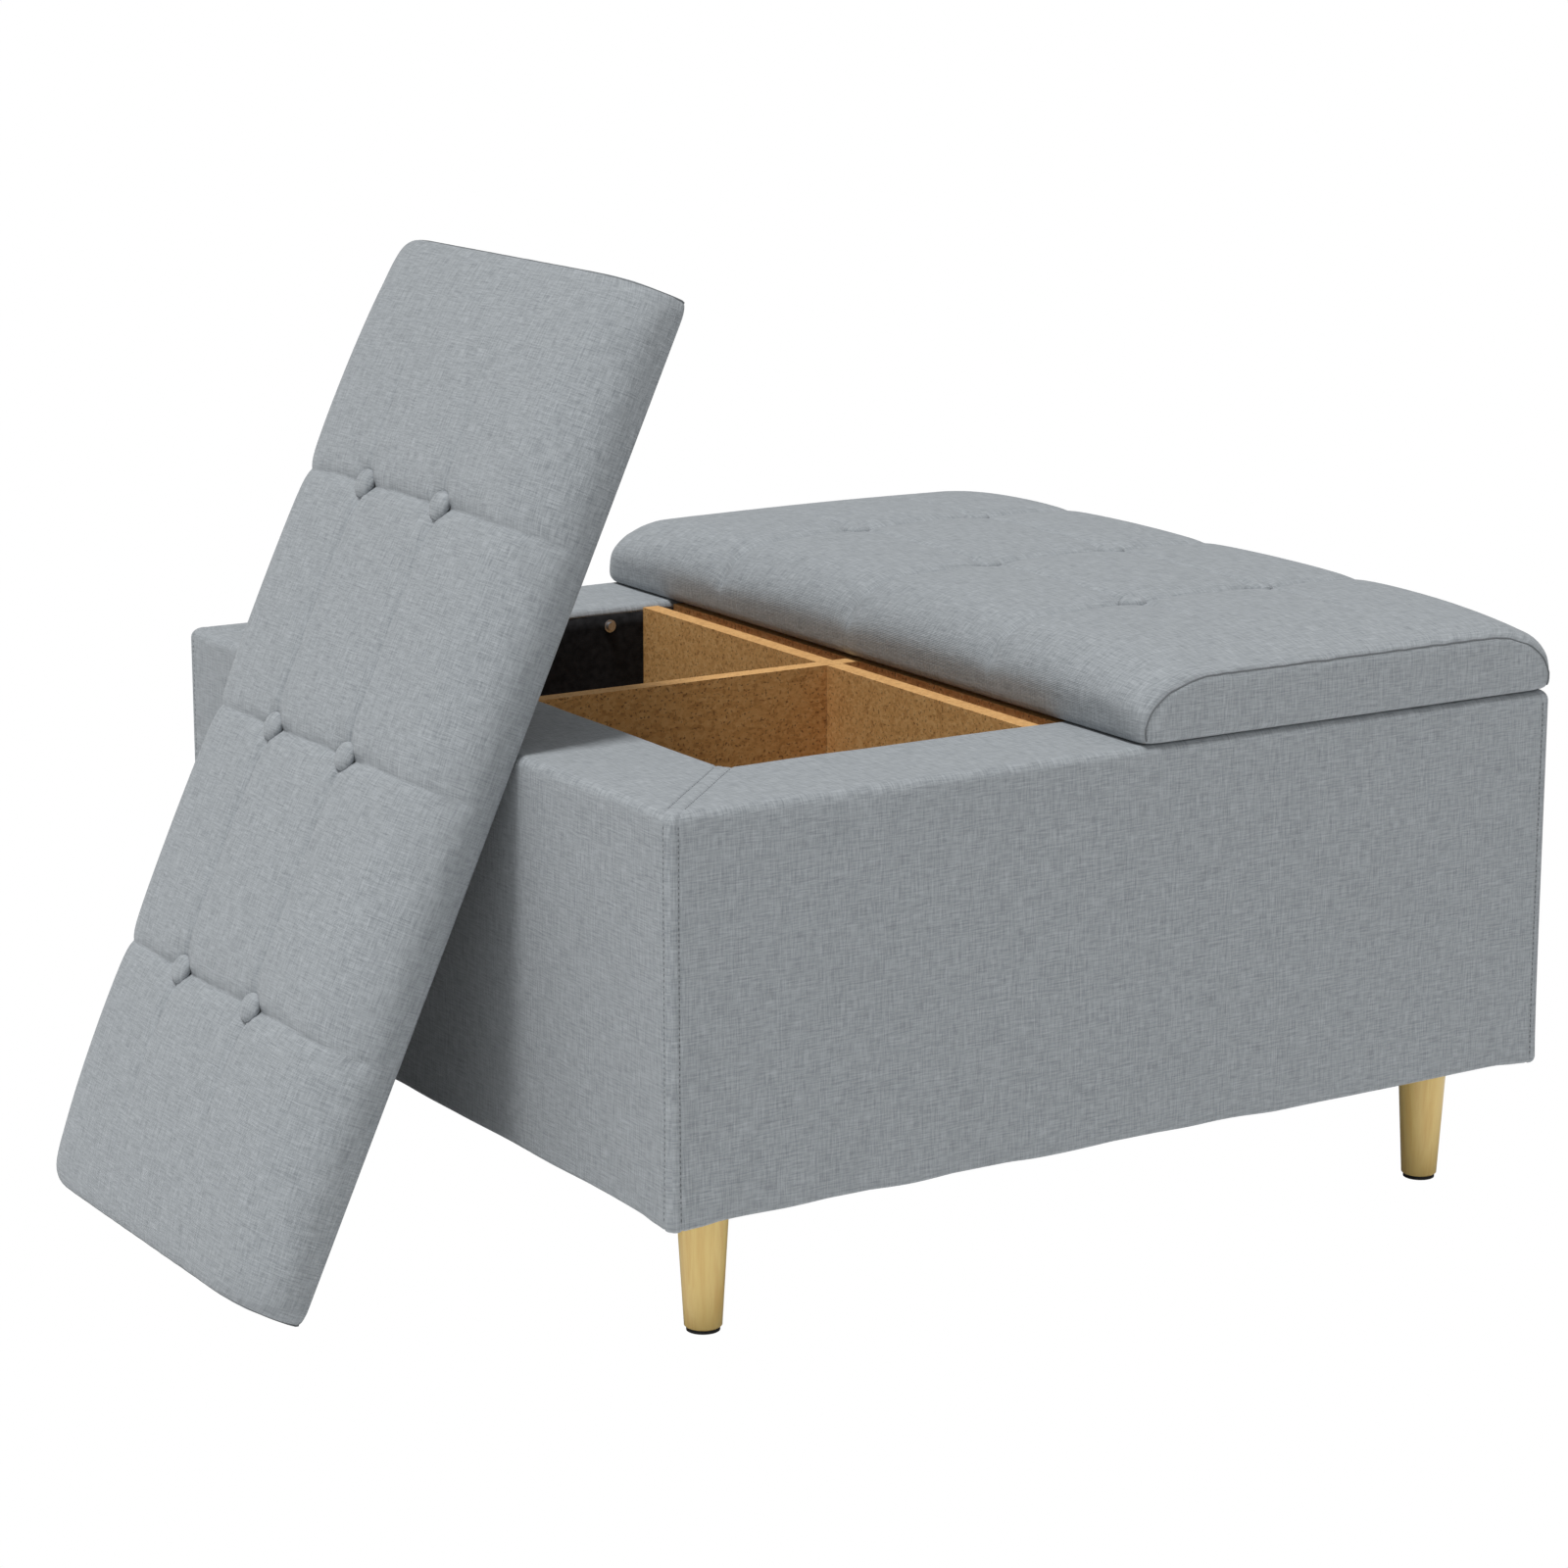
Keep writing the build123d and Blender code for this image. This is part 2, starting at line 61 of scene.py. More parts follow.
# ---- where things are ----
# The box is square; HALF, CAVITY and CORE are half widths of cover, cavity and base board.
COVER_LOW, COVER_HIGH = node_box("box_cover")
BOX_X = (COVER_LOW.x + COVER_HIGH.x) / 2
HALF = (COVER_HIGH.x - COVER_LOW.x) / 2
HEM = COVER_LOW.z
RIM = COVER_HIGH.z
BASE_LOW, BASE_HIGH = node_box("base_board")
LINING_LOW, LINING_HIGH = node_box("cavity_lining")
CAVITY = (LINING_HIGH.x - LINING_LOW.x) / 2
CORE = (BASE_HIGH.x - BASE_LOW.x) / 2
RAIL_TOP = node_box("front_top_rail")[1].z
LINING = 1.0              # thickness of the lining
FABRIC = 1.0              # thickness of the cover's cloth
CLEARANCE = 0.2           # kept between hidden cloth and the boards
BOX_RADIUS = 8.0          # rounding of the box's upright corners and outer rim
LIP_RADIUS = 6.0          # rounding of the rim into the opening
HEM_RADIUS = 3.0
HEM_FLAP = 25.0           # width turned under the base board
SEAM_OFFSET = 8.5         # top-stitching each side of the box's corner and mitre seams
END_ZONE = 30.0           # stretch at each end of a side with its own close stations

LID_WIDTH, LID_LENGTH = 396.0, 800.0
LID_SIDE_HEIGHT = 50.0
LID_CROWN = 70.0          # foam puffs up between the channels
LID_SHOULDER = 57.0       # width of the rounding from the top down to the widest line
LID_WIDEST = 23.0         # height of the widest line of a long side
LID_PLAN_RADIUS = 16.0    # corners seen from above
LID_CORNER = 30.0         # further rounding of the pad's upper corners
LID_END_RADIUS = 10.0     # the top's edge over an end seam
LID_EDGE_RADIUS = 6.0     # the lower edge all round
LID_BULGE = 3.0           # the foam side swells past the board
LID_SEAM = 398.2          # where the end panels are sewn on
LEAN_ANGLE = 65.5         # degrees from the floor to the leaning lid
LID_GAP = 0.3             # between the rim and the lid that lies on it
BUTTON_SEAT = 58.5        # height of a button's gathered edge over the lid's underside
BUTTON_RADIUS = 11.5
BUTTON_HEIGHT = 8.5
BUTTON_WIDEST = 3.2       # height of a button's widest line over its seat
CHANNELS_ALONG = (-62.5, 62.5)
CHANNELS_ACROSS = (-200.0, 0.0, 200.0)
BUTTONS = [(x, y) for y in CHANNELS_ACROSS for x in CHANNELS_ALONG]

STITCH_PITCH = 4.2
STITCH_LENGTH = 3.1
STITCH_RADIUS = 0.42
# Along a stitch: share of its length, share of its radius, rise in radii.
STITCH_RINGS = (
    (0.0, 0.35, -0.6),
    (0.25, 0.9, 0.1),
    (0.5, 1.0, 0.35),
    (0.75, 0.9, 0.1),
    (1.0, 0.35, -0.6),
)
CORD_RADIUS = 0.75
TUBE_SIDES = 6
CLOTH_THICKNESS = 0.7     # the black cloths


# ---- meshes ----
class Surface:
    """The vertices, faces and UVs of one piece, gathered patch by patch, in millimetres."""

    def __init__(self):
        self.points = []
        self.faces = []
        self.uvs = []

    def add_points(self, points):
        """Adds points and returns the index of the first."""
        start = len(self.points)
        self.points.extend(tuple(p) for p in points)
        return start

    def add_face(self, corners, uvs):
        self.faces.append(tuple(corners))
        self.uvs.extend(uvs)

    def piece(self, name, material, matrix=None):
        """The mesh object, with UVs in metres and smooth shading."""
        mesh = bpy.data.meshes.new(name)
        mesh.from_pydata((np.array(self.points) * MM).tolist(), [], self.faces)
        layer = mesh.uv_layers.new(name="weave")
        layer.data.foreach_set("uv", (np.array(self.uvs, dtype=np.float32) * MM).ravel())
        mesh.shade_smooth()
        if matrix is not None:
            mesh.transform(matrix)
        mesh.materials.append(material)
        mesh.validate()
        piece = bpy.data.objects.new(name, mesh)
        bpy.context.scene.collection.objects.link(piece)
        return piece


def smooth_step(low, high, value):
    """Rises smoothly from 0 at low to 1 at high."""
    t = min(1.0, max(0.0, (value - low) / (high - low)))
    return t * t * (3 - 2 * t)


def soft_noise(x, y, z=0.0):
    """Smooth noise from about -1 to 1; x, y and z are in wavelengths."""
    return noise.noise(Vector((x, y, z)), noise_basis="PERLIN_ORIGINAL") * 1.6


def evenly(start, end, step):
    """Numbers from start to end, both included, about step apart."""
    count = max(1, round(abs(end - start) / step))
    return [start + (end - start) * i / count for i in range(count + 1)]


def without_repeats(values):
    """The values in order, less any that repeats the one before."""
    return [v for i, v in enumerate(values) if i == 0 or abs(v - values[i - 1]) > 1e-6]


def round_off(radius, over):
    """How far an edge of this radius falls back, over past where its rounding starts."""
    return radius - math.sqrt(radius**2 - over**2)


def quarter_turns(x, y, count):
    """The point turned about the origin by quarter turns, anticlockwise."""
    for _ in range(count):
        x, y = -y, x
    return x, y


# ---- materials ----
class Paint:
    """One procedural material under construction."""

    def __init__(self, name, roughness, settings=None):
        self.material = bpy.data.materials.new(name)
        self.material.use_nodes = True
        self.tree = self.material.node_tree
        self.surface = self.tree.nodes["Principled BSDF"]
        self.feed(self.surface, {"Roughness": roughness, **(settings or {})})

    def feed(self, node, inputs):
        """Links each input that is a socket and sets the others."""
        for key, value in inputs.items():
            if isinstance(value, bpy.types.NodeSocket):
                self.tree.links.new(value, node.inputs[key])
            else:
                node.inputs[key].default_value = value

    def add(self, kind, inputs, **settings):
        node = self.tree.nodes.new("ShaderNode" + kind)
        for key, value in settings.items():
            setattr(node, key, value)
        self.feed(node, inputs)
        return node

    def place(self, kind, scale=(1, 1, 1)):
        """UV or object coordinates, in metres, times a scale."""
        source = self.add("TexCoord", {}).outputs[kind]
        return self.add("Mapping", {"Vector": source, "Scale": scale}).outputs[0]

    def noise(self, vector, detail=2.0, scale=1.0, distortion=0.0):
        inputs = {"Vector": vector, "Detail": detail, "Scale": scale, "Distortion": distortion}
        return self.add("TexNoise", inputs).outputs["Fac"]

    def maths(self, operation, first, second):
        return self.add("Math", {0: first, 1: second}, operation=operation).outputs[0]

    def spread(self, value, low, high, to_low=0.0, to_high=1.0):
        """Maps low to high onto to_low to to_high, held at both ends."""
        inputs = {0: value, 1: low, 2: high, 3: to_low, 4: to_high}
        return self.add("MapRange", inputs).outputs[0]

    def blend(self, factor, first, second):
        """Mixes two colours; 6, 7 and output 2 are the Mix node's colour sockets."""
        return self.add("Mix", {0: factor, 6: first, 7: second}, data_type="RGBA").outputs[2]

    def ramp(self, factor, stops):
        node = self.add("ValToRGB", {"Fac": factor})
        elements = node.color_ramp.elements
        while len(elements) < len(stops):
            elements.new(0.5)
        for element, (position, colour) in zip(elements, stops):
            element.position = position
            element.color = colour
        return node.outputs["Color"]

    def finish(self, colour, height=None, depth=0.0002, strength=1.0):
        """Links colour and bump; depth is the bump's height in metres."""
        self.feed(self.surface, {"Base Color": colour})
        if height is not None:
            inputs = {"Height": height, "Distance": depth, "Strength": strength}
            self.feed(self.surface, {"Normal": self.add("Bump", inputs).outputs[0]})
        return self.material


def rgb(red, green, blue):
    return (red, green, blue, 1.0)


def linen(name, painted_shade_factor=1.0):
    """Grey linen-look weave: fine threads both ways, with lighter and darker slubs."""
    soft = {"Sheen Weight": 0.12, "Sheen Roughness": 0.5, "Specular IOR Level": 0.25}
    paint = Paint(name, 0.9, soft)
    along = paint.noise(paint.place("UV", (90, 1000, 1)))
    across = paint.noise(paint.place("UV", (1000, 90, 1)))
    slub_along = paint.noise(paint.place("UV", (36, 560, 1)))
    slub_across = paint.noise(paint.place("UV", (560, 36, 1)))
    fine = paint.maths("ADD", along, across)
    slubs = paint.maths("ADD", slub_along, slub_across)
    fine, slubs = paint.maths("MULTIPLY", fine, 0.6), paint.maths("MULTIPLY", slubs, 0.4)
    mixed = paint.maths("ADD", fine, slubs)
    threads = paint.spread(mixed, 0.78, 1.22)
    # Both thread colours are scaled by the painted shade factor: 1 for the cover, lower where the cloth stands in
    # for the shadow in a seam groove.
    colour = paint.blend(
        threads,
        rgb(0.252 * painted_shade_factor, 0.274 * painted_shade_factor, 0.292 * painted_shade_factor),
        rgb(0.442 * painted_shade_factor, 0.471 * painted_shade_factor, 0.494 * painted_shade_factor),
    )
    cloudy = paint.noise(paint.place("UV", (9, 9, 1)), detail=3)
    clouds = paint.spread(cloudy, 0.3, 0.7, 0.0, 0.12)
    colour = paint.blend(clouds, colour, rgb(0.30, 0.32, 0.335))
    wave = {"Vector": paint.place("UV"), "Scale": 300, "Distortion": 0.6}
    warp = paint.add("TexWave", wave, bands_direction="X")
    weft = paint.add("TexWave", wave, bands_direction="Y")
    weave = paint.maths("ADD", warp.outputs["Fac"], weft.outputs["Fac"])
    height = paint.maths("ADD", paint.maths("MULTIPLY", weave, 0.3), mixed)
    return paint.finish(colour, height, depth=0.0005, strength=0.7)


def particleboard():
    """Raw pressed chips: pale and brown flakes with dark flecks, and a painted highlight on faces that point up.
    """
    paint = Paint("particleboard", 0.85, {"Specular IOR Level": 0.3})
    where = paint.place("Object")
    chips = paint.add("TexVoronoi", {"Vector": where, "Scale": 330.0})
    stretched = paint.place("Object", (150, 260, 420))
    long_chips = paint.add("TexVoronoi", {"Vector": stretched, "Scale": 1.0})
    short = paint.maths("MULTIPLY", chips.outputs["Color"], 0.55)
    long = paint.maths("MULTIPLY", long_chips.outputs["Color"], 0.45)
    tone = paint.maths("ADD", short, long)
    colour = paint.ramp(
        tone,
        [
            (0.15, rgb(0.55, 0.270, 0.085)),
            (0.45, rgb(0.76, 0.400, 0.135)),
            (0.85, rgb(0.88, 0.520, 0.205)),
        ],
    )
    flecks = paint.spread(paint.noise(where, detail=3, scale=430), 0.60, 0.66)
    colour = paint.blend(paint.maths("MULTIPLY", flecks, 0.75), colour, rgb(0.19, 0.080, 0.025))
    # Painted highlight: faces that point up are blended towards a lighter brown, standing in for the light from
    # above.
    normal = paint.add("NewGeometry", {}).outputs["Normal"]
    facing = paint.add("SeparateXYZ", {0: normal}).outputs["Z"]
    edge = paint.spread(facing, 0.8, 0.95, 0.0, 0.5)
    colour = paint.blend(edge, colour, rgb(0.60, 0.36, 0.15))
    return paint.finish(colour, tone, depth=0.0004, strength=0.5)


def turned_wood(name, pale, brown, coat):
    """Straight-grained wood, its grain along Z."""
    paint = Paint(name, 0.42, {"Coat Weight": coat, "Coat Roughness": 0.22})
    grain = paint.noise(paint.place("Object", (95, 95, 5)), detail=5, distortion=1.2)
    fibres = paint.noise(paint.place("Object", (900, 900, 22)), detail=2)
    coarse, fine = paint.maths("MULTIPLY", grain, 0.8), paint.maths("MULTIPLY", fibres, 0.2)
    tone = paint.maths("ADD", coarse, fine)
    colour = paint.ramp(tone, [(0.36, brown), (0.52, pale), (0.70, brown)])
    return paint.finish(colour, fibres, depth=0.0001, strength=0.4)


def black_cloth():
    """Black non-woven cloth with bonded dots."""
    paint = Paint("black_cloth", 0.95, {"Sheen Weight": 0.08, "Specular IOR Level": 0.2})
    where = paint.place("Object")
    dots = paint.add("TexVoronoi", {"Vector": where, "Scale": 520.0, "Randomness": 0.25})
    fibres = paint.noise(where, detail=6, scale=160)
    stops = [(0.35, rgb(0.006, 0.006, 0.007)), (0.7, rgb(0.022, 0.022, 0.024))]
    colour = paint.ramp(fibres, stops)
    return paint.finish(colour, dots.outputs["Distance"], depth=0.0003, strength=0.6)


def zinc():
    """Zinc-plated steel, slightly dulled."""
    paint = Paint("zinc_steel", 0.38, {"Metallic": 1.0})
    wear = paint.noise(paint.place("Object", (900, 900, 300)), detail=4)
    colour = paint.ramp(wear, [(0.3, rgb(0.42, 0.42, 0.43)), (0.7, rgb(0.66, 0.66, 0.68))])
    return paint.finish(colour, wear, depth=0.00005, strength=0.5)


def moulded(name, dark, light, roughness):
    """Moulded plastic with a fine grain."""
    paint = Paint(name, roughness)
    grain = paint.noise(paint.place("Object"), detail=3, scale=1500)
    colour = paint.ramp(grain, [(0.3, dark), (0.7, light)])
    return paint.finish(colour, grain, depth=0.00005, strength=0.5)


def open_foam():
    """Cream foam with open pores, painted shade darkening the bottom of each pore."""
    paint = Paint("foam", 0.95)
    pores = paint.add("TexVoronoi", {"Vector": paint.place("Object"), "Scale": 700.0})
    depth = pores.outputs["Distance"]
    # Painted shade: the colour darkens towards each pore's centre, where the bump sinks lowest.
    colour = paint.ramp(depth, [(0.0, rgb(0.5, 0.46, 0.3)), (0.5, rgb(0.8, 0.76, 0.58))])
    return paint.finish(colour, depth, depth=0.0006)


def waxed_twine():
    """Natural twine, its twist shown as slanting bands, with painted shade in the grooves between them."""
    paint = Paint("twine", 0.7)
    wave = {"Vector": paint.place("Object"), "Scale": 120.0}
    twist = paint.add("TexWave", wave, bands_direction="DIAGONAL").outputs["Fac"]
    # Painted shade: the bands also drive the bump, so the colour is darker where the twist sinks in.
    colour = paint.ramp(twist, [(0.2, rgb(0.45, 0.41, 0.33)), (0.8, rgb(0.8, 0.76, 0.66))])
    return paint.finish(colour, twist, depth=0.0003)


LINEN = linen("upholstery")
# Thread for the top-stitching and end seams: the linen darkened to 0.45, painted shade standing in for the shadow
# in each seam's groove.
THREAD_PAINTED_SHADE = linen("thread", painted_shade_factor=0.45)
CHIPBOARD = particleboard()
LEG_WOOD = turned_wood("leg_wood", rgb(0.97, 0.71, 0.255), rgb(0.90, 0.60, 0.195), 0.3)
BLOCK_WOOD = turned_wood("block_wood", rgb(0.62, 0.46, 0.26), rgb(0.48, 0.33, 0.17), 0.0)
BLACK_CLOTH = black_cloth()
ZINC = zinc()
NEAR_BLACK, DARK_GREY = rgb(0.010, 0.010, 0.011), rgb(0.022, 0.022, 0.024)
FOOT_PLASTIC = moulded("foot_plastic", NEAR_BLACK, DARK_GREY, 0.55)
TOGGLE_PLASTIC = moulded("toggle_plastic", rgb(0.60, 0.60, 0.57), rgb(0.72, 0.72, 0.69), 0.4)
FOAM = open_foam()
TWINE = waxed_twine()
NODE_MATERIALS = {
    "upholstery": LINEN,
    "particleboard": CHIPBOARD,
    "leg_wood": LEG_WOOD,
    "block_wood": BLOCK_WOOD,
    "black_cloth": BLACK_CLOTH,
    "foam": FOAM,
    "zinc_steel": ZINC,
    "foot_plastic": FOOT_PLASTIC,
    "toggle_plastic": TOGGLE_PLASTIC,
    "twine": TWINE,
}


def finish_cad_nodes():
    """Gives every carried-over node the material of its slot."""
    for subpart in frame["record"]["subparts"]:
        materials = frame["nodes"][subpart["node"]].data.materials
        materials.clear()
        materials.append(NODE_MATERIALS[subpart["material_slot"]])


# ---- the box's upholstery: one profile swept round a square ----
def box_profile():
    """Closed profile as (half size, z, outward share, upward share, region)."""
    profile = []

    def run(start, end, step, outward, upward, region):
        for t in evenly(0.0, 1.0, step / max(1.0, math.dist(start, end)))[1:]:
            half = start[0] + (end[0] - start[0]) * t
            z = start[1] + (end[1] - start[1]) * t
            profile.append((half, z, outward, upward, region))

    def arc(centre, radius, first, last, region):
        for angle in evenly(math.radians(first), math.radians(last), math.radians(15))[1:]:
            outward, upward = math.cos(angle), math.sin(angle)
            half, z = centre[0] + radius * outward, centre[1] + radius * upward
            profile.append((half, z, outward, upward, region))

    flap = HALF - HEM_FLAP
    run((flap, HEM + CLEARANCE), (HALF - HEM_RADIUS, HEM), 6.0, 0.0, 0.0, "flap")
    arc((HALF - HEM_RADIUS, HEM + HEM_RADIUS), HEM_RADIUS, -90, 0, "wall")
    run((HALF, HEM + HEM_RADIUS), (HALF, HEM + 60), 5.0, 1.0, 0.0, "wall")
    run((HALF, HEM + 60), (HALF, RIM - BOX_RADIUS), 9.0, 1.0, 0.0, "wall")
    arc((HALF - BOX_RADIUS, RIM - BOX_RADIUS), BOX_RADIUS, 0, 90, "rim")
    inner = CAVITY - LINING
    run((HALF - BOX_RADIUS, RIM), (inner + LIP_RADIUS, RIM), 5.0, 0.0, 1.0, "rim")
    arc((inner + LIP_RADIUS, RIM - LIP_RADIUS), LIP_RADIUS, 90, 180, "rim")
    hidden = [
        (CAVITY + CLEARANCE, LINING_HIGH.z),
        (CAVITY + CLEARANCE, RAIL_TOP + CLEARANCE),
        (CORE + CLEARANCE, RAIL_TOP + CLEARANCE),
        (CORE + CLEARANCE, HEM + FABRIC + CLEARANCE),
        (flap, HEM + FABRIC + CLEARANCE),
        (flap, HEM + CLEARANCE),
    ]
    profile.extend((half, z, 0.0, 0.0, "hidden") for half, z in hidden)
    return profile


def side_stations():
    """Stations along one side: corner-arc angles, then distances from the end of the arc."""
    arcs = [("arc", angle) for angle in (45, 33, 22, 11)]
    distances = (0.0, 0.8, 1.5, 2.0, 2.5, 3.2, 5.0, 8.0, 12.0, 17.0, 23.0, END_ZONE)
    near = [("end", d) for d in distances]
    middle = [("middle", share) for share in evenly(0.0, 1.0, 1 / 90)[1:-1]]
    far = [("far " + kind, value) for kind, value in reversed(arcs + near)]
    return arcs + near + middle + far


def on_side(half, station):
    """Along the side from its middle, and inward from its face, of a station."""
    kind, value = station
    reach = half - BOX_RADIUS
    if kind.endswith("arc"):
        angle = math.radians(value)
        along = -reach - BOX_RADIUS * math.sin(angle)
        inward = BOX_RADIUS * (1 - math.cos(angle))
    elif kind.endswith("end"):
        along, inward = -reach + value, 0.0
    else:
        span = reach - END_ZONE
        along, inward = span * (2 * value - 1), 0.0
    return (-along if kind.startswith("far") else along), inward


def seam_dent(from_corner):
    """A line of top-stitching pulls the cloth in; the seam allowance beside it stands out."""
    dent = -0.9 * math.exp(-(((from_corner - SEAM_OFFSET) / 1.1) ** 2))
    ridge = 0.45 * math.exp(-((from_corner / (SEAM_OFFSET * 0.7)) ** 4))
    return dent + ridge


def box_swell(side, along, half, z, region):
    """How far the cloth stands out from the plain profile, and how far it moves up."""
    from_corner = half - abs(along)
    low = math.exp(-(z - HEM) / 32.0)
    seed = 17.0 * side
    swell = seam_dent(from_corner)
    lift = 0.0
    if region == "wall":
        away = smooth_step(0.0, 60.0, from_corner)
        swell += 0.7 * away * (soft_noise(along / 170, z / 130, seed) - 0.6)
        swell += low * away * 1.6 * (soft_noise(along / 75 + 3.1, z / 160, seed) + 0.45)
        swell += low * 1.6 * math.exp(-((from_corner / 22.0) ** 2))
        lift = low * 0.5 * soft_noise(along / 62, 0.3, seed + 5.0) * away
        lift -= low * 1.8 * math.exp(-((from_corner / 30.0) ** 2))
        swell += diagonal_fold(along, half, z)
    elif region == "rim":
        swell += 0.25 * (soft_noise(along / 60, half / 45, seed) - 0.8)
    return swell, lift


def diagonal_fold(along, half, z):
    """Soft folds that run up from the hem near each corner."""
    from_corner = half - abs(along)
    across = (from_corner - 26.0) - 0.75 * (z - HEM)
    fade = math.exp(-(((z - HEM) - 30.0) / 34.0) ** 2) * smooth_step(4.0, 20.0, from_corner)
    return 1.3 * math.exp(-((across / 8.0) ** 2)) * fade


def rim_crease(side, along, half):
    """Faint crease along the middle of the left ledge."""
    left = 3
    if side != left:
        return 0.0
    middle = (HALF + CAVITY) / 2 - 2.0
    wander = 2.5 * soft_noise(along / 120, 4.0)
    return -0.5 * math.exp(-(((half - middle - wander) / 2.5) ** 2))


def box_point(side, station, row):
    """A point of the upholstery, and how far it lies along the side from its middle."""
    half, z, outward, upward, region = row
    along, inward = on_side(half, station)
    swell, lift = 0.0, 0.0
    if region in ("wall", "rim"):
        swell, lift = box_swell(side, along, half, z, region)
    if region == "rim":
        swell += rim_crease(side, along, half)
    half_out = half - inward + swell * outward
    x, y = quarter_turns(along, -half_out, side)
    return (BOX_X + x, y, z + lift + swell * upward), along


def box_upholstery():
    """The sewn cover over its foam: walls, ledge, lip and hem, closed against the boards."""
    surface = Surface()
    profile = box_profile()
    stations = side_stations()
    lengths = [0.0]
    for before, after in zip(profile, profile[1:] + profile[:1]):
        lengths.append(lengths[-1] + math.dist(before[:2], after[:2]))
    columns = [(side, station) for side in range(4) for station in stations[:-1]]
    grid = [[box_point(side, station, row) for side, station in columns] for row in profile]
    surface.add_points(point for line in grid for point, _ in line)
    count, per_side = len(columns), len(stations) - 1
    for r in range(len(profile)):
        above = (r + 1) % len(profile)
        low, high = lengths[r], lengths[r + 1]
        for c in range(count):
            after = (c + 1) % count
            shift = c // per_side * 2 * HALF
            corners, uvs = [], []
            ring = ((r, c, low), (r, after, low), (above, after, high), (above, c, high))
            for row, column, v in ring:
                along = grid[row][column][1]
                if column == after and after % per_side == 0:
                    along = -along
                corners.append(row * count + column)
                uvs.append((along + shift, v))
            surface.add_face(corners, uvs)
    return surface.piece("box_upholstery", LINEN)


# ---- stitches ----
def tube_ring(centre, first, second, radius):
    """Points round a centre, in the plane of two unit vectors."""
    turns = [math.tau * k / TUBE_SIDES for k in range(TUBE_SIDES)]
    return [centre + (first * math.cos(t) + second * math.sin(t)) * radius for t in turns]


def add_tube(surface, rings):
    """Joins rings of points into a tube with closed ends."""
    starts = [surface.add_points(ring) for ring in rings]
    for start, following in zip(starts, starts[1:]):
        for k in range(TUBE_SIDES):
            after = (k + 1) % TUBE_SIDES
            corners = (start + k, start + after, following + after, following + k)
            surface.add_face(corners, [(k, 0), (k + 1, 0), (k + 1, 3), (k, 3)])
    first = tuple(starts[0] + k for k in reversed(range(TUBE_SIDES)))
    last = tuple(starts[-1] + k for k in range(TUBE_SIDES))
    surface.add_face(first, [(k, 0) for k in range(TUBE_SIDES)])
    surface.add_face(last, [(k, 3) for k in range(TUBE_SIDES)])


def add_stitch(surface, start, end, out):
    """One stitch: a short thread, fat in the middle, that dips in at its ends."""
    start, end, out = Vector(start), Vector(end), Vector(out)
    line = (end - start).normalized()
    side = line.cross(out).normalized()
    rings = []
    for share, size, rise in STITCH_RINGS:
        centre = start.lerp(end, share) + out * (STITCH_RADIUS * rise)
        rings.append(tube_ring(centre, side, out, STITCH_RADIUS * size))
    add_tube(surface, rings)


def add_cord(surface, path, radius):
    """A closed tube along a path of points in a plane across Y."""
    rings = []
    path = [Vector(point) for point in path]
    side = Vector((0, 1, 0))
    for i, point in enumerate(path):
        line = (path[min(i + 1, len(path) - 1)] - path[max(i - 1, 0)]).normalized()
        rings.append(tube_ring(point, side, line.cross(side).normalized(), radius))
    add_tube(surface, rings)


def box_stitching():
    """Top-stitching down both sides of each upright corner and along each mitre, in thread darkened as painted
    shade for the seam grooves.
    """
    surface = Surface()
    for side in range(4):
        out = (*quarter_turns(0, -1, side), 0)
        for kind in ("end", "far end"):
            station = (kind, SEAM_OFFSET - BOX_RADIUS)
            z = HEM + 6.0
            while z < RIM - BOX_RADIUS - STITCH_LENGTH:
                rows = [(HALF, level, 1.0, 0.0, "wall") for level in (z, z + STITCH_LENGTH)]
                add_stitch(surface, *(box_point(side, station, row)[0] for row in rows), out)
                z += STITCH_PITCH
            half = CAVITY - LINING + LIP_RADIUS + 2.0
            while half < HALF - BOX_RADIUS - STITCH_LENGTH:
                levels = (half, half + STITCH_LENGTH / math.sqrt(2))
                rows = [(level, RIM, 0.0, 1.0, "rim") for level in levels]
                add_stitch(surface, *(box_point(side, station, row)[0] for row in rows), (0, 0, 1))
                half += STITCH_PITCH / math.sqrt(2)
    return surface.piece("box_stitching", THREAD_PAINTED_SHADE)


# ---- the lids ----
def lid_columns():
    """X of the top's grid lines, closer together at the channels and the shoulders."""
    half = [0.0] + evenly(5.0, 50.0, 5.0) + evenly(52.5, 72.5, 1.25) + evenly(76.0, 176.0, 5.0)
    half.append(lid_side()[0][0])
    half = without_repeats(half)
    return [-x for x in reversed(half[1:])] + half


def lid_stations():
    """Y of the rings, closer together at the channels and the ends."""
    half = evenly(0.0, 10.0, 1.25) + evenly(14.0, 186.0, 5.0) + evenly(190.0, 210.0, 1.25)
    half += evenly(214.0, 384.0, 5.0)
    half += [387.0, 390.0, 392.5, 394.5, 396.0, 397.2, 397.9, LID_SEAM]
    half = without_repeats(half)
    return [-y for y in reversed(half[1:])] + half


def edge_inset(z):
    """How far the lid's lower edge rounds in at height z."""
    return round_off(LID_EDGE_RADIUS, max(0.0, LID_EDGE_RADIUS - z))


def lid_side():
    """(x, z) from the shoulder's knee to the bottom; z is None where the crown gives it."""
    half = LID_WIDTH / 2
    knee = [40, 34, 28, 22, 16, 10, 5, 0]
    points = [(half - LID_SHOULDER * (1 - math.cos(math.radians(angle))), None) for angle in knee]
    points += [(half - edge_inset(z), z) for z in (19.0, 14.0, 9.0, 6.0, 3.6, 1.8, 0.6, 0.1)]
    return points


